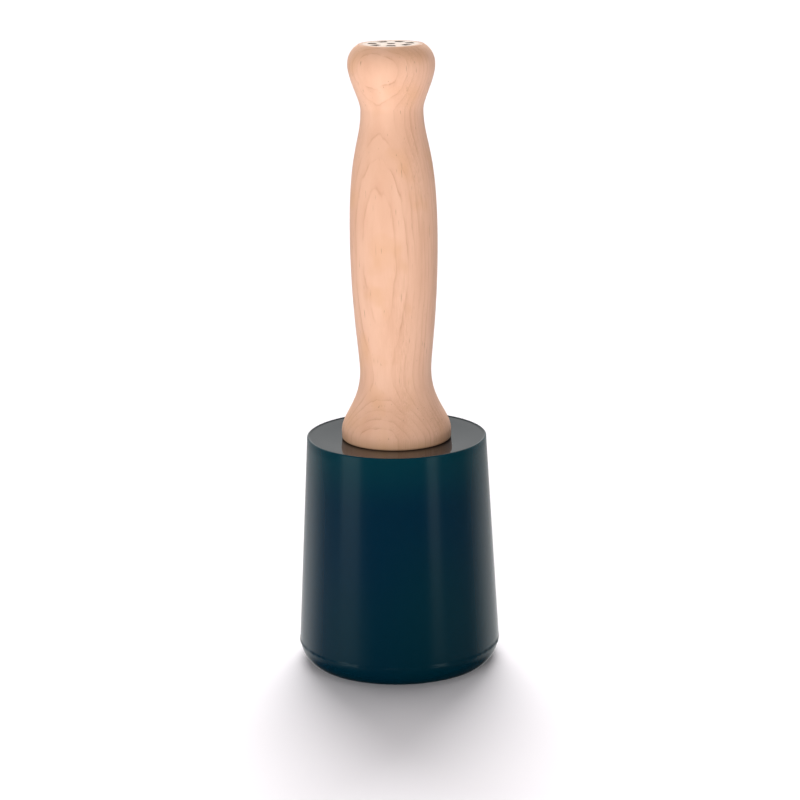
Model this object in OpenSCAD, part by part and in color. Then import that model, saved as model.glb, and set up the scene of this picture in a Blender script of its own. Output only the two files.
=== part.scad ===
// Round carving mallet: a tapered cast head on a turned wooden handle.
// The mallet stands on the flat end face of its head. Z is the axis that all the turned
// shapes share: z = 0 is that end face, and the handle points up.

/* [Head] */
// Height of the head, from its end face to its rim
head_h = 95.1; // [80:0.1:110]
// Radius of the flat end face
end_face_r = 37.6; // [36:0.1:39]
// Radius of the moulding lip, the widest line round the head
lip_r = 41.9; // [41.8:0.1:44]
// Height of the moulding lip above the end face
lip_z = 7.6; // [7.6:0.1:9]
// Radius of the wall where it leaves the moulding lip
wall_foot_r = 41.5; // [40:0.1:41.6]
// Radius of the wall at the rim
wall_top_r = 36.8; // [34:0.1:40]
// Radius of the rounded outer edge of the rim
rim_round = 0.5; // [0.3:0.1:2]
// Depth of the seat under the handle's foot, below the rim: the top face is slightly dished
seat_drop = 1; // [0.5:0.1:3]

/* [Handle] */
// Length of the handle above its seat on the head
grip_l = 160.9; // [159:0.1:200]
// Radius of the flared foot, which sits on the head
foot_r = 22.4; // [19:0.1:26]
// Radius of the lower neck
low_neck_r = 14.55; // [13:0.1:16]
// Height of the lower neck above the seat
low_neck_z = 28.2; // [20:0.1:40]
// Radius of the grip where it is fullest
belly_r = 17.7; // [16:0.1:21]
// Height of the fullest part of the grip above the seat
belly_z = 83.9; // [60:0.1:100]
// Radius of the upper neck
high_neck_r = 12.55; // [11:0.05:15]
// Height of the upper neck above the seat
high_neck_z = 134.9; // [120:0.1:142]
// Radius of the pommel where it is fullest
pommel_r = 17.45; // [15:0.05:20]
// Height of the fullest part of the pommel above the seat
pommel_z = 152.9; // [147:0.1:156]
// Radius of the flat end of the pommel
pommel_flat_r = 12.9; // [8:0.1:14]

/* [Wedged tenon] */
// Radius of the tenon under the handle's foot
tenon_r = 14; // [11:0.1:16]
// Radius of the tenon at its end, where the wedges have spread it
tenon_end_r = 15; // [14:0.1:17]
// Length of the spread stretch of the tenon
spread_l = 40; // [20:1:60]
// Depth of the tenon's end inside the end face
tenon_setback = 1.2; // [0.5:0.1:4]
// Thickness of the wooden wedge at the tenon's end
wedge_t = 4; // [3:0.1:5]
// Length of the wooden wedge
wedge_l = 42; // [25:1:55]
// Length of the steel wedges
steel_l = 14; // [8:1:20]
// Width of each steel wedge
steel_w = 8; // [5:0.1:9]
// Thickness of the steel wedges at the tenon's end
steel_t = 2; // [1:0.1:3]

/* [Hidden] */

// True circle for every turned shape
$fn = 96;
// Steps along each curved stretch of an outline
STEPS = 14;

// Head, as radius and height
LIP_THICK = 0.5;           // thickness of the sharp edge of the moulding lip
LIP_FLARE_H = 1.6;         // height over which the wall curves out to the lip
UNDERCUT = 0.65;           // how far the head steps in under the lip
under_lip_r = lip_r - UNDERCUT;
under_lip_z = lip_z - LIP_THICK / 2;
lip_top_z = lip_z + LIP_THICK / 2;
RIDGE_H = 0.4;             // height of the narrow ridge that the rim stands up as
RIDGE_W = 1.2;             // width of the ridge's inner side
RIDGE_CURVE = 2.5;         // how sharply the ridge's inner side rises towards its crest
SEAT_SPARE = 0.4;          // width of the flat seat outside the handle's foot
seat_z = head_h - seat_drop;
crest_r = wall_top_r - rim_round;

// Rounded edge between the end face and the lip: one arc, square to the axis at the lip
edge_in = under_lip_r - end_face_r;
edge_r = (edge_in ^ 2 + under_lip_z ^ 2) / (2 * edge_in);
edge_turn = asin(under_lip_z / edge_r);

// Handle
top_z = seat_z + grip_l;
FOOT_ROUND = 1;            // radius of the rounded lower edge of the foot
FOOT_LAND = 3.5;           // height of the foot's upright edge
MOUTH_CHAMFER = 1;         // widening of the eye from the tenon's end to the end face

// How long each stretch of the handle's outline stays upright after its lower station and
// before its upper one, as shares of the stretch's height
FOOT_PULLS = [0.25, 0.52];      // from the foot to the lower neck
LOW_PULLS = [0.139, 0.544];     // from the lower neck to the belly
HIGH_PULLS = [0.705, 0.257];    // from the belly to the upper neck
POMMEL_PULLS = [0.225, 0.33];   // from the upper neck to the pommel

// Wedges
SAW_CUT = 1.2;             // width of the saw cut in the tenon
SAW_CUT_SPARE = 12;        // how far the saw cut goes on past the wooden wedge
STEEL_TIP_T = 0.4;         // thickness of a steel wedge at its tip
STEEL_GAP = 1.6;           // wood left between a steel wedge and the wooden one
STEEL_COUNT = 2;
tenon_end_z = tenon_setback;
spread_z = tenon_end_z + spread_l;

// Point at t from 0 to 1 on the cubic curve with ends a and d, pulled towards b and c
function curve_point(a, b, c, d, t) =
    (1 - t) ^ 3 * a + 3 * (1 - t) ^ 2 * t * b + 3 * (1 - t) * t ^ 2 * c + t ^ 3 * d;

// Turned stretch between two stations [radius, height], upright at both ends.
// pulls is one of the pairs of shares named above.
// The upper station is left out, because the next stretch starts there.
function turned(low, high, pulls) =
    let (rise = [0, high.y - low.y])
    [for (i = [0 : STEPS - 1])
        curve_point(low, low + pulls[0] * rise, high - pulls[1] * rise, high, i / STEPS)];

// Arc round a centre, from one angle to the other, ends included
function arc(centre, r, from, to) =
    [for (i = [0 : STEPS])
        let (a = from + (to - from) * i / STEPS)
        centre + r * [cos(a), sin(a)]];

// Stations of the handle's outline, as [radius, height]
foot_edge = [foot_r, seat_z + FOOT_LAND];
low_neck = [low_neck_r, seat_z + low_neck_z];
belly = [belly_r, seat_z + belly_z];
high_neck = [high_neck_r, seat_z + high_neck_z];
pommel = [pommel_r, seat_z + pommel_z];
pommel_flat = [pommel_flat_r, top_z];

// The tenon's outline, from its end up to the foot. The eye has the same outline.
tenon_side = [
    [tenon_end_r, tenon_end_z],
    [tenon_r, spread_z],
    [tenon_r, seat_z]
];

// Rounding of the pommel from its fullest part to the edge of its flat end
POMMEL_SIDE_PULL = 0.62;   // share of the rounding's height that it stays upright for
POMMEL_EDGE_PULL = 0.3;    // share of the rounding's width that its slanted upper end runs for
POMMEL_EDGE_SLOPE = 0.6;   // slope of the rounding at the edge of the flat end
pommel_h = pommel_flat.y - pommel.y;
edge_run = (pommel.x - pommel_flat.x) * POMMEL_EDGE_PULL;
pommel_round = [for (i = [0 : STEPS])
    curve_point(
        pommel,
        pommel + [0, pommel_h * POMMEL_SIDE_PULL],
        pommel_flat + [edge_run, -edge_run * POMMEL_EDGE_SLOPE],
        pommel_flat,
        i / STEPS)];

// The block of wood that fills the eye, before the saw cut
module tenon_blank() {
    rotate_extrude()
        polygon(concat([[0, tenon_end_z]], tenon_side, [[0, seat_z]]));
}

// Wedge along Z: its thick end at the tenon's end, its faces at right angles to Y
module wedge_blank(from_x, to_x, length, end_t, tip_t) {
    translate([from_x, 0, tenon_end_z])
        rotate([90, 0, 90])
            linear_extrude(to_x - from_x)
                polygon([
                    [-end_t / 2, 0],
                    [end_t / 2, 0],
                    [tip_t / 2, length],
                    [-tip_t / 2, length]
                ]);
}

module head() {
    lip_flare = [for (i = [0 : STEPS / 2])
        let (t = i * 2 / STEPS)
        [lip_r + (wall_foot_r - lip_r) * (1 - (1 - t) ^ 2), lip_top_z + LIP_FLARE_H * t]];
    // Inner side of the rim's ridge, from its crest down to the dished top face
    ridge = [for (i = [STEPS - 1 : -1 : 0])
        let (t = i / STEPS)
        [crest_r - RIDGE_W * (1 - t), head_h - RIDGE_H * (1 - t ^ RIDGE_CURVE)]];
    color([0.01, 0.17, 0.22])
        rotate_extrude()
            polygon(concat(
                [[tenon_end_r + MOUTH_CHAMFER, 0]],
                arc([under_lip_r - edge_r, under_lip_z], edge_r, -edge_turn, 0),
                [[lip_r, under_lip_z]],
                lip_flare,
                arc([crest_r, head_h - rim_round], rim_round, 0, 90),
                ridge,
                [[foot_r + SEAT_SPARE, seat_z]],
                [for (i = [len(tenon_side) - 1 : -1 : 0]) tenon_side[i]]));
}

module handle() {
    foot_round = arc([foot_r - FOOT_ROUND, seat_z + FOOT_ROUND], FOOT_ROUND, -90, 0);
    color([0.95, 0.77, 0.6])
        difference() {
            rotate_extrude()
                polygon(concat(
                    [[0, tenon_end_z]],
                    tenon_side,
                    foot_round,
                    turned(foot_edge, low_neck, FOOT_PULLS),
                    turned(low_neck, belly, LOW_PULLS),
                    turned(belly, high_neck, HIGH_PULLS),
                    turned(high_neck, pommel, POMMEL_PULLS),
                    pommel_round,
                    [[0, top_z]]));
            wedge_blank(-foot_r, foot_r, wedge_l, wedge_t, SAW_CUT);
            wedge_blank(-foot_r, foot_r, wedge_l + SAW_CUT_SPARE, SAW_CUT, SAW_CUT);
            steel_blanks();
        }
}

module tenon_wedge() {
    color([0.55, 0.36, 0.22])
        intersection() {
            tenon_blank();
            wedge_blank(-foot_r, foot_r, wedge_l, wedge_t, SAW_CUT);
        }
}

// One steel wedge on each side of the wooden wedge, at right angles to it
module steel_blanks() {
    inner_x = wedge_t / 2 + STEEL_GAP;
    for (i = [0 : STEEL_COUNT - 1])
        rotate([0, 0, 90 + i * 360 / STEEL_COUNT])
            wedge_blank(inner_x, inner_x + steel_w, steel_l, steel_t, STEEL_TIP_T);
}

module steel_wedges() {
    color([0.6, 0.62, 0.65])
        steel_blanks();
}

head();
handle();
tenon_wedge();
steel_wedges();
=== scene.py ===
import math

import bmesh
import bpy
from mathutils import Matrix, Vector, noise


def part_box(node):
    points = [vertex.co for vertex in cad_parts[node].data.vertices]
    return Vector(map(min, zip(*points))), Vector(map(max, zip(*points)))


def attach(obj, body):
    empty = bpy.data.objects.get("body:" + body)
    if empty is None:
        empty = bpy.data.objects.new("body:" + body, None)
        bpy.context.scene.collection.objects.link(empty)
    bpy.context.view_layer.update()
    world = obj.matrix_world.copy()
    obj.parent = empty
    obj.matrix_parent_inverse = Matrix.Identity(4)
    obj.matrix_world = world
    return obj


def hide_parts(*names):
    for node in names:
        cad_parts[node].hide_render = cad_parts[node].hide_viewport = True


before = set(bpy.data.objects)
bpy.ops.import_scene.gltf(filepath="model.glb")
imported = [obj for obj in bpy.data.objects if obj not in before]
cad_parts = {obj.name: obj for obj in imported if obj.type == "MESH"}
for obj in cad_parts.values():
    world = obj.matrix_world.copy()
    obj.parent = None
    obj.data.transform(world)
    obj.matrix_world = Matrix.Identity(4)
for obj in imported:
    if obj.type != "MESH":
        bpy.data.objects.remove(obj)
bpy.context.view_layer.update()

# A round mallet: a cast head on a turned handle, its tenon wedged in the head's eye.
# Lengths are in metres, except in the materials, where places are in millimetres.
# Outlines are lists of (radius, height), read from the CAD nodes.

MM = 0.001
TURN = 2 * math.pi

head_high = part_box("head")[1]
handle_low, handle_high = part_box("handle")
wedge_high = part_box("tenon_wedge")[1]

RIM = head_high.z               # top of the rim round the head's top face
TOP = handle_high.z             # the pommel's flat end
TENON_END = handle_low.z
TENON_END_R = wedge_high.x
LIP_R = head_high.x             # the moulding lip, the widest line round the head
NEAR = 0.01 * MM                # two heights or radii this close are the same


# ---------------------------------------------------------------- outlines from the frame

SAME_CORNER = 5 * NEAR          # rings closer than this are one corner of the outline
STRAIGHT = 0.3 * NEAR           # a ring this close to a straight stretch lies on it


def rings_of(node):
    """The (radius, height) of each ring of vertices of a turned CAD node, lowest first."""
    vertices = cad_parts[node].data.vertices
    found = {(round(Vector(v.co[:2]).length, 6), round(v.co.z, 6)) for v in vertices}
    return sorted(found, key=lambda ring: (ring[1], ring[0]))


def corners(rings):
    """The rings where the outline turns, without the ones that only divide a straight stretch."""
    kept = [rings[0]]
    for here, after in zip(rings[1:], rings[2:]):
        last = Vector(kept[-1])
        if (Vector(here) - last).length < SAME_CORNER:
            continue
        along = (Vector(after) - last).normalized()
        if abs(along.cross(Vector(here) - last)) > STRAIGHT:
            kept.append(here)
    return kept + [rings[-1]]


def spline(points, steps):
    """The points with a smooth curve put through them, steps pieces between each pair."""
    ends = [points[0]] + points + [points[-1]]
    made = []
    for before, a, b, after in zip(ends, ends[1:], ends[2:], ends[3:]):
        for i in range(steps):
            t = i / steps
            made.append(tuple(
                0.5 * (2 * a[k] + (b[k] - before[k]) * t
                       + (2 * before[k] - 5 * a[k] + 4 * b[k] - after[k]) * t ** 2
                       + (3 * a[k] - before[k] - 3 * b[k] + after[k]) * t ** 3)
                for k in (0, 1)))
    return made + [points[-1]]


def subdivided(a, b, steps):
    """Points on the straight line from a to b, both ends included."""
    return [tuple(a[k] + (b[k] - a[k]) * i / steps for k in (0, 1)) for i in range(steps + 1)]


# ---------------------------------------------------------------- meshes

ON_AXIS = 1e-7                  # an outline point with a smaller radius is one vertex
SHARP_DEG = 32                  # edges that turn by more than this stay sharp


def lathe(name, outline, segments, closed=False, moved=None):
    """A turned mesh. An outline that starts and ends on the axis is capped there; a closed one
    is a ring. moved(point) returns where a point of the surface goes."""
    bm = bmesh.new()
    loops = []
    for r, z in outline:
        if r < ON_AXIS:
            loops.append([bm.verts.new((0, 0, z))])
            continue
        loop = []
        for i in range(segments):
            a = TURN * i / segments
            point = Vector((r * math.sin(a), -r * math.cos(a), z))
            loop.append(bm.verts.new(moved(point) if moved else point))
        loops.append(loop)
    pairs = list(zip(loops, loops[1:]))
    if closed:
        pairs.append((loops[-1], loops[0]))
    for low, high in pairs:
        for i in range(segments):
            j = (i + 1) % segments
            face = [low[i % len(low)], low[j % len(low)], high[j % len(high)], high[i % len(high)]]
            bm.faces.new(list(dict.fromkeys(face)))
    bmesh.ops.recalc_face_normals(bm, faces=bm.faces)
    return finished(name, bm)


def finished(name, bm):
    """The mesh as an object, shaded smooth, with its real edges kept sharp."""
    for face in bm.faces:
        face.smooth = True
    for edge in bm.edges:
        if len(edge.link_faces) == 2 and edge.calc_face_angle() > math.radians(SHARP_DEG):
            edge.smooth = False
    mesh = bpy.data.meshes.new(name)
    bm.to_mesh(mesh)
    bm.free()
    piece = bpy.data.objects.new(name, mesh)
    bpy.context.scene.collection.objects.link(piece)
    return piece


# ---------------------------------------------------------------- shader nodes

ACROSS = (1, 1, 0)              # multiplied by a place, gives its offset from the tool's axis
USUAL = (0.3, 0.7)              # where most of a noise's values lie


class Graph:
    """The node tree of a material or a world, with short calls for the nodes that are used here."""

    def __init__(self, owner, shader="Principled BSDF"):
        owner.use_nodes = True
        self.owner = owner
        self.tree = owner.node_tree
        self.shader = self.tree.nodes[shader]

    def put(self, socket, value):
        if isinstance(value, bpy.types.NodeSocket):
            self.tree.links.new(value, socket)
        else:
            socket.default_value = value

    def add(self, kind, inputs, **settings):
        made = self.tree.nodes.new(kind)
        for key, value in settings.items():
            setattr(made, key, value)
        for key, value in inputs.items():
            self.put(made.inputs[key], value)
        return made

    def set(self, **values):
        """Sets the shader's own inputs, whose names are written with _ for each space."""
        for key, value in values.items():
            self.put(self.shader.inputs[key.replace("_", " ")], value)

    def math(self, operation, a, b=0.0, c=0.0, clamp=False):
        made = self.add("ShaderNodeMath", {0: a, 1: b, 2: c}, operation=operation, use_clamp=clamp)
        return made.outputs[0]

    def vector(self, operation, a, b):
        return self.add("ShaderNodeVectorMath", {0: a, 1: b}, operation=operation).outputs["Vector"]

    def length(self, vector):
        return self.add("ShaderNodeVectorMath", {0: vector}, operation="LENGTH").outputs["Value"]

    def parts(self, vector):
        return self.add("ShaderNodeSeparateXYZ", {0: vector}).outputs

    def point_mm(self):
        """The point of the surface, in millimetres in the row frame."""
        place = self.add("ShaderNodeTexCoord", {}).outputs["Object"]
        scaled = self.add("ShaderNodeVectorMath", {0: place, "Scale": 1 / MM}, operation="SCALE")
        return scaled.outputs["Vector"]

    def noise(self, point, per_mm, detail=2.0, roughness=0.5):
        """Noise from 0 to 1. per_mm says how fine it is along x, y and z."""
        made = self.add("ShaderNodeTexNoise", {
            "Vector": self.vector("MULTIPLY", point, per_mm),
            "Scale": 1.0, "Detail": detail, "Roughness": roughness})
        return made.outputs["Fac"]

    def span(self, value, low, high, to_low=0.0, to_high=1.0, kind="LINEAR"):
        """value from low..high to to_low..to_high, held at the ends."""
        inputs = {0: value, 1: low, 2: high, 3: to_low, 4: to_high}
        return self.add("ShaderNodeMapRange", inputs, interpolation_type=kind).outputs[0]

    def fade(self, value, low, high, to_low=0.0, to_high=1.0):
        """A span that leaves and reaches its ends softly."""
        return self.span(value, low, high, to_low, to_high, "SMOOTHSTEP")

    def mix(self, share, a, b):
        made = self.add("ShaderNodeMix", {}, data_type="RGBA")
        self.put(made.inputs["Factor"], share)
        self.put(made.inputs["A"], a)
        self.put(made.inputs["B"], b)
        return made.outputs["Result"]

    def spotted(self, shade, spots, reach, spot_shade):
        """The shade with spot_shade over it where spots, a noise, is high. reach is the noise
        where that begins, the noise where it is full and the most that is then covered."""
        start, full, most = reach
        return self.mix(self.span(spots, start, full, 0.0, most), shade, spot_shade)

    def ramp(self, value, stops):
        """A curve of value, given as (place, height) from low to high."""
        made = self.add("ShaderNodeValToRGB", {"Fac": value})
        points = made.color_ramp.elements
        while len(points) < len(stops):
            points.new(0.5)
        for point, (place, shade) in zip(points, stops):
            point.position = place
            point.color = (shade, shade, shade, 1)
        return made.outputs["Color"]

    def bump(self, height, distance):
        made = self.add("ShaderNodeBump", {"Height": height, "Distance": distance, "Strength": 1.0})
        return made.outputs["Normal"]


# ---------------------------------------------------------------- camera, floor and light

CAMERA_PLACE = (0.00159, -0.98546, 0.36446)
CAMERA_DOWN_DEG = 14.499
CAMERA_ROLL_DEG = 0.815
CAMERA_LENS_MM = 111.87
SENSOR_MM = 36
CLIP_START = 0.05

FLOOR_REACH = 12
FLOOR_SHADE = (0.92, 0.888, 0.913, 1)
FLOOR_ROUGHNESS = 0.9

# Suns behind the tool: how steeply the light falls, its strength and its spread in degrees
BACK_LIGHTS = ((0.58, 4.1, 42), (1.6, 0.85, 60))

# The even light on the front, a little to the left of the camera
FRONT_BEARING_DEG = -14
FRONT_DISTANCE = 1.3
FRONT_HEIGHT = 0.3
FRONT_AIM = (0, 0, 0.15)
FRONT_SIZE = (0.7, 0.5)
FRONT_WATTS = 9.7


def facing(direction):
    """The turn that points a camera or a light along a direction."""
    return Vector(direction).to_track_quat("-Z", "Y")


def make_camera():
    data = bpy.data.cameras.new("camera")
    data.sensor_width = SENSOR_MM
    data.lens = CAMERA_LENS_MM
    data.clip_start = CLIP_START
    camera = bpy.data.objects.new("camera", data)
    camera.location = CAMERA_PLACE
    bpy.context.scene.collection.objects.link(camera)
    turn = facing((0, 1, -math.tan(math.radians(CAMERA_DOWN_DEG)))).to_matrix().to_4x4()
    turn = turn @ Matrix.Rotation(math.radians(-CAMERA_ROLL_DEG), 4, "Z")
    camera.rotation_euler = turn.to_euler()
    bpy.context.scene.camera = camera
    bpy.context.scene.view_settings.view_transform = "Standard"


def make_floor():
    bm = bmesh.new()
    bmesh.ops.create_grid(bm, x_segments=2, y_segments=2, size=FLOOR_REACH)
    floor = finished("floor", bm)
    g = Graph(bpy.data.materials.new("floor"))
    g.set(Base_Color=FLOOR_SHADE, Roughness=FLOOR_ROUGHNESS, Specular_IOR_Level=0.0)
    floor.data.materials.append(g.owner)
    floor.visible_glossy = False        # the gloss shows the surroundings instead


def add_lamp(light, place, direction):
    """A lamp that lights the surfaces but doesn't show in their gloss."""
    lamp = bpy.data.objects.new(light.name, light)
    lamp.location = place
    lamp.rotation_euler = facing(direction).to_euler()
    lamp.visible_glossy = False
    bpy.context.scene.collection.objects.link(lamp)


def make_light():
    """Soft light from behind, which throws the shadow forward, and an even light on the front."""
    for steepness, strength, spread in BACK_LIGHTS:
        sun = bpy.data.lights.new("back_light", "SUN")
        sun.energy = strength
        sun.angle = math.radians(spread)
        add_lamp(sun, (0, 0, 0), (0, -1, -steepness))
    fill = bpy.data.lights.new("front_fill", "AREA")
    fill.shape = "RECTANGLE"
    fill.size, fill.size_y = FRONT_SIZE
    fill.energy = FRONT_WATTS
    bearing = math.radians(FRONT_BEARING_DEG)
    x = FRONT_DISTANCE * math.sin(bearing)
    y = -FRONT_DISTANCE * math.cos(bearing)
    place = Vector((x, y, FRONT_HEIGHT))
    add_lamp(fill, place, Vector(FRONT_AIM) - place)


# The surroundings. Each fade runs from one value to another of a direction's side (to the right),
# depth (away from the camera's side) or height (up), and then come its strengths at the two.
BACKDROP_DEPTH = (-0.3, 0.8, 0.1, 0.7)          # a white backdrop behind, dim in front
TABLE_DEPTH = (0.0, 0.65, 0.02, 0.85)           # a pale table behind, dark in front
TABLE_SKEW = 0.06                               # how much the table's far side turns to the right
TABLE_HEIGHT = (-0.21, -0.32, 0.45, 1.0)        # the table is dimmer towards the horizon
LEFT_SIDE = (-0.4, -0.95, 0.0, 0.5)             # light from the left
RIGHT_SIDE = (0.4, 0.9, 0.0, 0.18)              # and less from the right
SIDES_UPPER_HEIGHT = (-0.19, -0.27, 0.1, 1.0)   # both are strongest in a low band,
SIDES_LOWER_HEIGHT = (-0.25, -0.29, 1.0, 0.4)   # and weaker again below it
UNDER_TOOL_HEIGHT = (-0.36, -0.6, 1.0, 0.04)    # the table is dark close to the tool
HORIZON_HEIGHT = (-0.06, 0.06)                  # from the table to the backdrop

# Pale strips that the wall mirrors: bearing from the camera's side and half the width, in degrees
WINDOW_STRIPS = ((-60, 13), (45, 7))
STRIP_EDGE_DEG = 3                              # how far on each side of that they fade
STRIP_HEIGHT = (-0.185, -0.23, 0.8, 0.0)        # they end below the horizon


def make_surroundings():
    """The world, which the gloss mirrors: a white backdrop behind the tool, a pale table that
    fades to a dim room in front, a little light from both sides, and two pale strips."""
    g = Graph(bpy.data.worlds.new("studio"), "Background")
    bpy.context.scene.world = g.owner
    side, depth, height = g.parts(g.add("ShaderNodeTexCoord", {}).outputs["Generated"])

    backdrop = g.fade(depth, *BACKDROP_DEPTH)
    table = g.fade(g.math("MULTIPLY_ADD", side, TABLE_SKEW, depth), *TABLE_DEPTH)
    table = g.math("MULTIPLY", table, g.fade(height, *TABLE_HEIGHT))

    beside = g.math("ADD", g.fade(side, *LEFT_SIDE), g.fade(side, *RIGHT_SIDE))
    beside = g.math("MULTIPLY", beside, g.fade(height, *SIDES_UPPER_HEIGHT))
    beside = g.math("MULTIPLY", beside, g.fade(height, *SIDES_LOWER_HEIGHT))
    table = g.math("ADD", table, beside)
    table = g.math("MULTIPLY", table, g.fade(height, *UNDER_TOOL_HEIGHT))

    bearing = g.math("ARCTAN2", side, g.math("MULTIPLY", depth, -1.0))
    strip_strength = g.fade(height, *STRIP_HEIGHT)
    for middle, half_width in WINDOW_STRIPS:
        off_middle = g.math("ABSOLUTE", g.math("SUBTRACT", bearing, math.radians(middle)))
        inner = math.radians(half_width - STRIP_EDGE_DEG)
        outer = math.radians(half_width + STRIP_EDGE_DEG)
        strip = g.fade(off_middle, inner, outer, 1.0, 0.0)
        table = g.math("MULTIPLY_ADD", strip, strip_strength, table)
    g.set(Strength=g.fade(height, *HORIZON_HEIGHT, table, backdrop), Color=(1, 1, 1, 1))


# ---------------------------------------------------------------- maple

PITH = (32.0, 84.0, 0.0)        # where the tree's centre lay, from the handle's axis, in mm
RING = 1.9                      # distance between growth rings, in mm
GRAIN_SLOPE = -0.0137           # how the rings lean out, in mm for each mm of height
RING_WAVER = 3.4                # how far the rings wander broadly, in mm
RING_SHAKE = 0.9                # and how far finely
RING_PATCHES = (0.38, 0.6, 0.12, 1.0)   # noise from and to, and how strong the rings are there
RING_FAINTEST = 0.3             # strength of the faintest ring
RING_DARKNESS = 0.62            # strength of all of them
# How dark a growth ring is over its width, from its inner side to its outer one
RING_PROFILE = [(0.0, 0.2), (0.08, 0.0), (0.55, 0.05), (0.86, 0.4), (0.94, 1.0), (1.0, 0.2)]

MAPLE_PALE = (0.85, 0.522, 0.362, 1)
MAPLE_DEEP = (0.78, 0.455, 0.302, 1)
MAPLE_WARM = (0.76, 0.43, 0.25, 1)
RING_SHADE = (0.5, 0.21, 0.11, 1)
STREAK_SHADE = (0.5, 0.25, 0.13, 1)
FLECK_SHADE = (0.27, 0.12, 0.065, 1)
GUM_SHADE = (0.3, 0.13, 0.07, 1)
# Painted shade where the handle's foot meets the head
FOOT_PAINTED_SHADE = (0.62, 0.37, 0.19, 1)
# Each reach: the noise where a mark begins, where it is full and the most it then covers
WARM_REACH = (0.52, 0.68, 0.7)
FLECK_REACH = (0.73, 0.79, 0.5)
GUM_REACH = (0.72, 0.8, 0.6)
STREAKED = (0.45, 0.62, 0.12, 0.42)     # noise from and to, and how strong the streaks are there
STREAKED_SIDE = (-4, 8, 0.35, 1.15)     # x from and to, in mm, and how strong they are there
STREAK_FIBRES = (0.38, 0.75)            # from a pale fibre to a dark one
FOOT_PAINTED_SHADE_FADE = (RIM / MM - 1, RIM / MM + 4, 0.4, 0.0)    # painted shade: heights in mm and shares
# Painted glare: the middle of the pommel's end is painted pale, in place of the glare on it
END_GLARE_PALE = (0.98, 0.82, 0.7, 1)
END_GLARE_DEEP = (0.95, 0.75, 0.61, 1)
END_GLARE_FADE = (10.0, 12.2)         # radii in mm between which the painted glare in the middle of the end fades out
END_DEPTH = 0.1                 # in mm: what is this close to the pommel's flat end is on it
END_ROUGHNESS = 0.2
WOOD_SATIN = (0.38, 0.52)       # roughness between the dark fibres and on them
WOOD_SPECULAR = 0.4
WOOD_RELIEF = 0.03 * MM
FIBRE_RELIEF_SHARE = 0.6
TOOL_MARK_RELIEF_SHARE = 0.6

# Rings of dashes on the pommel's end: radius in mm, number of dashes and how short they are.
# The last one is a dot.
MARK_RINGS = ((7.6, 7, -0.1), (0.0, 1, -2.0))
MARK_HALF_WIDTH = 1.7           # in mm
MARK_SHADE = (0.03, 0.017, 0.012, 1)
MARK_STRENGTH = 0.95
MARK_SPECULAR_LOSS = 0.45       # the burned marks are matt


def end_mark(g, x, y, from_axis):
    """Where the ring of dashes and the dot are burned in, on any level surface."""
    angle = g.math("ARCTAN2", y, x)
    marked = 0.0
    for radius, dashes, shortness in MARK_RINGS:
        ring = g.math("COMPARE", from_axis, radius, MARK_HALF_WIDTH)
        dash = g.math("GREATER_THAN", g.math("SINE", g.math("MULTIPLY", angle, dashes)), shortness)
        marked = g.math("MULTIPLY_ADD", ring, dash, marked)
    return marked


def growth_rings(g, point, z):
    """How dark the growth rings are, some of them fainter and all of them faint in patches."""
    from_pith = g.length(g.vector("SUBTRACT", g.vector("MULTIPLY", point, ACROSS), PITH))
    place = g.math("MULTIPLY_ADD", z, GRAIN_SLOPE, from_pith)
    place = g.math("MULTIPLY_ADD", g.noise(point, (0.06, 0.06, 0.02), detail=3), RING_WAVER, place)
    place = g.math("MULTIPLY_ADD", g.noise(point, (0.3, 0.3, 0.07), detail=3), RING_SHAKE, place)
    count = g.math("DIVIDE", place, RING)
    line = g.ramp(g.math("FRACT", count), RING_PROFILE)
    patches = g.noise(point, (0.22, 0.22, 0.05))
    line = g.math("MULTIPLY", line, g.span(patches, *RING_PATCHES))
    own = g.add("ShaderNodeTexWhiteNoise", {"W": g.math("FLOOR", count)}, noise_dimensions="1D")
    return g.math("MULTIPLY", line, g.span(own.outputs["Value"], 0.0, 1.0, RING_FAINTEST, 1.0))


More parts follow.
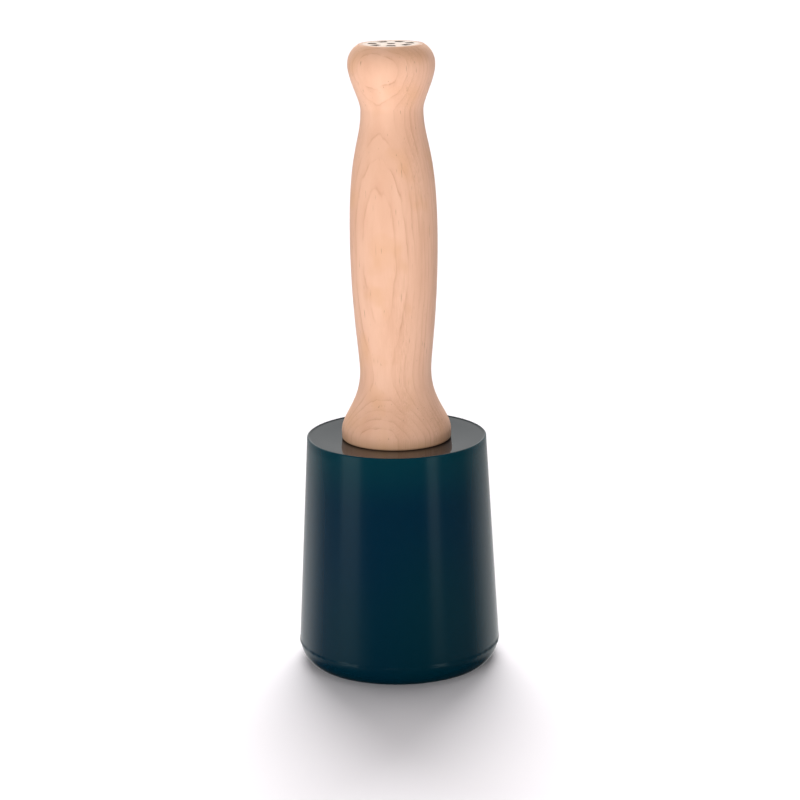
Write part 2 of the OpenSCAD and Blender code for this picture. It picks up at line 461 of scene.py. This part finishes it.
def maple(name):
    """Turned maple: growth rings that the turned shape cuts into arches, warm patches, streaks of
    dark fibres, flecks, gum, painted shade just above the head and a marked end with a painted
    glare in its middle."""
    g = Graph(bpy.data.materials.new(name))
    point = g.point_mm()
    x, y, z = g.parts(point)
    from_axis = g.length(g.vector("MULTIPLY", point, ACROSS))
    on_end = g.math("GREATER_THAN", z, TOP / MM - END_DEPTH)
    fibre = g.noise(point, (3.2, 3.2, 0.09), detail=3, roughness=0.6)

    shade = g.mix(g.span(g.noise(point, (0.12, 0.12, 0.03)), *USUAL), MAPLE_PALE, MAPLE_DEEP)
    shade = g.spotted(shade, g.noise(point, (0.07, 0.07, 0.06)), WARM_REACH, MAPLE_WARM)
    shade = g.mix(g.math("MULTIPLY", growth_rings(g, point, z), RING_DARKNESS), shade, RING_SHADE)

    streaked = g.span(g.noise(point, (0.1, 0.1, 0.012), detail=1), *STREAKED)
    streaked = g.math("MULTIPLY", streaked, g.fade(x, *STREAKED_SIDE))
    streaks = g.math("MULTIPLY", g.span(fibre, *STREAK_FIBRES), streaked)
    shade = g.mix(streaks, shade, STREAK_SHADE)
    flecks = g.noise(point, (1.7, 1.7, 0.13), detail=1)
    shade = g.spotted(shade, flecks, FLECK_REACH, FLECK_SHADE)
    shade = g.spotted(shade, g.noise(point, (0.95, 0.95, 0.07)), GUM_REACH, GUM_SHADE)
    # painted shade just above the head
    shade = g.mix(g.fade(z, *FOOT_PAINTED_SHADE_FADE), shade, FOOT_PAINTED_SHADE)

    # painted glare on the middle of the end
    end_glare = g.math("MULTIPLY", on_end, g.fade(from_axis, *END_GLARE_FADE, 1.0, 0.0))
    shade = g.mix(end_glare, shade, g.mix(g.span(fibre, *USUAL), END_GLARE_PALE, END_GLARE_DEEP))
    mark = g.math("MULTIPLY", end_mark(g, x, y, from_axis), on_end)
    mark = g.math("MULTIPLY", mark, MARK_STRENGTH)
    g.set(Base_Color=g.mix(mark, shade, MARK_SHADE))
    specular = g.math("MULTIPLY_ADD", mark, -MARK_SPECULAR_LOSS, WOOD_SPECULAR, clamp=True)
    g.set(Specular_IOR_Level=specular)

    satin = g.span(fibre, *USUAL, *WOOD_SATIN)
    smoother = g.math("SUBTRACT", END_ROUGHNESS, satin)
    g.set(Roughness=g.math("MULTIPLY_ADD", on_end, smoother, satin))
    tool_marks = g.noise(point, (0, 0, 1.6))
    height = g.math("MULTIPLY", tool_marks, TOOL_MARK_RELIEF_SHARE)
    height = g.math("MULTIPLY_ADD", fibre, FIBRE_RELIEF_SHARE, height)
    g.set(Normal=g.bump(height, WOOD_RELIEF))
    return g.owner


# ---------------------------------------------------------------- other materials

WALL_BLUE = (0.0, 0.0162, 0.0372, 1)
WALL_GREEN = (0.0, 0.0208, 0.0345, 1)
# Painted glow: the wall is painted lighter and greener towards the rim, standing in for light from
# above shining through
RIM_PAINTED_GLOW = (0.0, 0.031, 0.044, 1)
RIM_PAINTED_GLOW_FADE = (RIM / MM - 24, RIM / MM, 0.0, 0.8)         # painted glow: heights in mm and shares
# Painted shade: the top face is painted near black, darker than the wall, so that its lit colour
# doesn't show
TOP_FACE_PAINTED_DARK = (0.002, 0.004, 0.008, 1)
TOP_FACE_ROUGHNESS = 0.08
TOP_FACE_DEPTH = 0.2            # in mm: what is this little below the seat is still top face
WALL_SATIN = (0.17, 0.19)
URETHANE_SPECULAR = 0.4
URETHANE_TINT = (0.74, 0.97, 0.93, 1)
URETHANE_RELIEF = 0.006 * MM

HARDWOOD_DARK = (0.24, 0.115, 0.055, 1)
HARDWOOD_LIGHT = (0.4, 0.22, 0.11, 1)
RAY_SHADE = (0.5, 0.32, 0.18, 1)
PORE_SHADE = (0.07, 0.03, 0.015, 1)
RAY_REACH = (0.6, 0.75, 0.3)
PORE_REACH = (0.62, 0.7, 0.8)
HARDWOOD_ROUGHNESS = (0.5, 0.7)
HARDWOOD_RELIEF = 0.06 * MM

STEEL_DARK = (0.33, 0.335, 0.34, 1)
STEEL_LIGHT = (0.5, 0.5, 0.51, 1)
RUST_SHADE = (0.19, 0.075, 0.03, 1)
RUST_REACH = (0.55, 0.72, 0.8)
RUST_METALLIC = 0.2             # how metallic the steel still is under full rust
STEEL_ROUGHNESS = (0.3, 0.48)
STEEL_RELIEF = 0.12 * MM
SCRATCH_RELIEF_SHARE = 0.2


def urethane(name, seat_mm, crest_mm):
    """Cast polyurethane: dark teal with a painted glow towards the rim and a top face painted
    darker, satin on the wall and smoother on the top face, which was poured."""
    g = Graph(bpy.data.materials.new(name))
    point = g.point_mm()
    z = g.parts(point)["Z"]
    from_axis = g.length(g.vector("MULTIPLY", point, ACROSS))
    above_seat = g.math("GREATER_THAN", z, seat_mm - TOP_FACE_DEPTH)
    on_top = g.math("MULTIPLY", above_seat, g.math("LESS_THAN", from_axis, crest_mm))
    drift = g.noise(point, (0.016, 0.016, 0.012), detail=1)
    shade = g.mix(g.fade(drift, *USUAL), WALL_BLUE, WALL_GREEN)
    # painted glow towards the rim
    shade = g.mix(g.fade(z, *RIM_PAINTED_GLOW_FADE), shade, RIM_PAINTED_GLOW)
    # the top face's painted shade
    g.set(Base_Color=g.mix(on_top, shade, TOP_FACE_PAINTED_DARK))
    peel = g.noise(point, (0.35, 0.35, 0.25))
    satin = g.span(peel, *USUAL, *WALL_SATIN)
    smoother = g.math("SUBTRACT", TOP_FACE_ROUGHNESS, satin)
    g.set(Roughness=g.math("MULTIPLY_ADD", on_top, smoother, satin))
    g.set(Specular_IOR_Level=URETHANE_SPECULAR, Specular_Tint=URETHANE_TINT)
    g.set(Normal=g.bump(peel, URETHANE_RELIEF))
    return g.owner


def wedge_hardwood(name):
    """Dark hardwood seen at its end: open pores and fine rays."""
    g = Graph(bpy.data.materials.new(name))
    point = g.point_mm()
    fibre = g.noise(point, (2.4, 2.4, 0.1), detail=3)
    pores = g.noise(point, (4.5, 4.5, 0.15), detail=1)
    rays = g.noise(point, (0.5, 5.0, 0.2), detail=1)
    shade = g.mix(g.span(fibre, *USUAL), HARDWOOD_DARK, HARDWOOD_LIGHT)
    shade = g.spotted(shade, rays, RAY_REACH, RAY_SHADE)
    shade = g.spotted(shade, pores, PORE_REACH, PORE_SHADE)
    g.set(Base_Color=shade, Roughness=g.span(fibre, *USUAL, *HARDWOOD_ROUGHNESS))
    g.set(Normal=g.bump(g.math("SUBTRACT", fibre, pores), HARDWOOD_RELIEF))
    return g.owner


def hammered_steel(name):
    """Mild steel: dull, scratched along its length, with hammer marks and a trace of rust."""
    g = Graph(bpy.data.materials.new(name))
    point = g.point_mm()
    scratch = g.noise(point, (5.0, 5.0, 0.3), detail=3)
    stain = g.noise(point, (0.5, 0.5, 0.4), detail=3)
    steel = g.mix(scratch, STEEL_DARK, STEEL_LIGHT)
    g.set(Base_Color=g.spotted(steel, stain, RUST_REACH, RUST_SHADE))
    start, full = RUST_REACH[:2]
    g.set(Metallic=g.span(stain, start, full, 1.0, RUST_METALLIC))
    g.set(Roughness=g.span(scratch, *USUAL, *STEEL_ROUGHNESS))
    dents = g.noise(point, (0.9, 0.9, 0.9), detail=1)
    height = g.math("MULTIPLY_ADD", scratch, SCRATCH_RELIEF_SHARE, dents)
    g.set(Normal=g.bump(height, STEEL_RELIEF))
    return g.owner


# ---------------------------------------------------------------- pieces

def baked(piece):
    """The piece with its modifiers applied to its mesh."""
    graph = bpy.context.evaluated_depsgraph_get()
    mesh = bpy.data.meshes.new_from_object(piece.evaluated_get(graph))
    piece.modifiers.clear()
    piece.data = mesh
    return piece


def placed(piece, node, material):
    """The piece stands for a CAD node, rides on the tool and has its one material."""
    piece.data.materials.clear()
    piece.data.materials.append(material)
    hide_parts(node)
    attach(piece, "root")


HEAD_SEGMENTS = 288
MOUTH_SPARE = 3 * MM            # the eye's chamfered mouth is less than this wider than the tenon
LONG_WALL = 10 * MM             # a stretch of the wall that rises by more is divided
WALL_STEPS = 24
LONG_TOP = 5 * MM               # a stretch of the top face that is wider is divided
TOP_STEPS = 12
FLASH_LOSS = 0.4 * MM           # most that the lip's torn flash falls short of its full radius
FLASH_WAVES = ((7, 0.5), (31, 0.35))    # how often the tear varies round the head and how much
FLASH_MEAN = 0.5


def make_head():
    rings = rings_of("head")
    eye = [ring for ring in rings if ring[0] < TENON_END_R + MOUTH_SPARE]
    seat = max(z for r, z in eye)
    crest = max(r for r, z in rings if z > RIM - NEAR)
    top = [ring for ring in rings if ring[1] > seat - NEAR and TENON_END_R < ring[0] < crest + NEAR]
    wall = corners([ring for ring in rings if ring not in eye and ring not in top])
    # The wall's tallest stretch starts at its foot, just above the lip
    wall_foot = max((b[1] - a[1], a[0]) for a, b in zip(wall, wall[1:]))[1]

    outline = []
    for a, b in zip(wall, wall[1:]):
        outline += subdivided(a, b, WALL_STEPS if b[1] - a[1] > LONG_WALL else 1)[:-1]
    outline.append(wall[-1])
    across = sorted(top, reverse=True) + [eye[-1]]
    for a, b in zip(across, across[1:]):
        outline += subdivided(a, b, TOP_STEPS if a[0] - b[0] > LONG_TOP else 1)[:-1]
    outline += eye[::-1]

    def torn_flash(point):
        """The lip's thin edge, uneven all round."""
        radius = Vector(point[:2]).length
        if radius < wall_foot + NEAR:
            return point
        outward = Vector((point.x, point.y, 0)) / radius
        loss = FLASH_MEAN + sum(size * noise.noise(outward * often) for often, size in FLASH_WAVES)
        share = (radius - wall_foot) / (LIP_R - wall_foot)
        return point - outward * FLASH_LOSS * share * min(max(loss, 0), 1)

    piece = lathe("cast_head", outline, HEAD_SEGMENTS, closed=True, moved=torn_flash)
    placed(piece, "head", urethane("cast_urethane", seat / MM, crest / MM))


HANDLE_SEGMENTS = 192
CURVE_STEPS = 3                 # between two corners of the CAD outline
SPREAD_SPARE = 2 * MM           # the tenon is less than this narrower than its spread end
BELOW_RIM = 3 * MM              # what is further than this below the rim is the tenon
POMMEL_EDGE = 0.25 * MM         # worn edge of the pommel's flat end


def make_handle():
    rings = rings_of("handle")
    below = [(r, z) for r, z in rings if z < RIM - BELOW_RIM and r > TENON_END_R - SPREAD_SPARE]
    seat = max(z for r, z in rings_of("head") if r < TENON_END_R)
    tenon_r = min(r for r, z in below)
    spread_top = max(z for r, z in below if r < tenon_r + NEAR and z < seat - NEAR)

    def above_tenon(ring):
        radius, z = ring
        return radius > 0 and (z > seat + NEAR or z > seat - NEAR and radius > tenon_r + NEAR)

    above = corners([ring for ring in rings if above_tenon(ring)])
    outline = [(0, TENON_END), (TENON_END_R, TENON_END), (tenon_r, spread_top), (tenon_r, seat)]
    outline += spline(above, CURVE_STEPS)
    edge_r = outline.pop()[0]
    outline += [(edge_r, TOP - POMMEL_EDGE / 2), (edge_r - POMMEL_EDGE / 2, TOP - POMMEL_EDGE / 8)]
    outline += [(edge_r - POMMEL_EDGE, TOP), (0, TOP)]
    piece = lathe("turned_handle", outline, HANDLE_SEGMENTS)
    for node in ("tenon_wedge", "steel_wedges"):
        cut = piece.modifiers.new(node, "BOOLEAN")
        cut.operation = "DIFFERENCE"
        cut.solver = "EXACT"
        cut.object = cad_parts[node]
    baked(piece)
    placed(piece, "handle", maple("maple"))


WOOD_BEVEL = 0.2 * MM
STEEL_BEVEL = 0.25 * MM
BEVEL_STEPS = 3
BEVEL_DEG = 40                  # edges that turn by more than this are bevelled
FLAT_DEG = 1                    # faces that turn by less than this are joined into one


def copied(node, name, bevel):
    """A CAD node's shape as a new piece, its edges bevelled."""
    bm = bmesh.new()
    bm.from_mesh(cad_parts[node].data)
    bmesh.ops.remove_doubles(bm, verts=bm.verts, dist=NEAR)
    bmesh.ops.dissolve_limit(bm, angle_limit=math.radians(FLAT_DEG), verts=bm.verts, edges=bm.edges)
    piece = finished(name, bm)
    rounding = piece.modifiers.new("rounding", "BEVEL")
    rounding.width = bevel
    rounding.segments = BEVEL_STEPS
    rounding.limit_method = "ANGLE"
    rounding.angle_limit = math.radians(BEVEL_DEG)
    return baked(piece)


def make_wedges():
    wooden = copied("tenon_wedge", "wooden_wedge", WOOD_BEVEL)
    placed(wooden, "tenon_wedge", wedge_hardwood("wedge_hardwood"))
    steel = copied("steel_wedges", "pair_of_steel_wedges", STEEL_BEVEL)
    placed(steel, "steel_wedges", hammered_steel("hammered_steel"))


make_camera()
make_floor()
make_light()
make_surroundings()
make_head()
make_handle()
make_wedges()
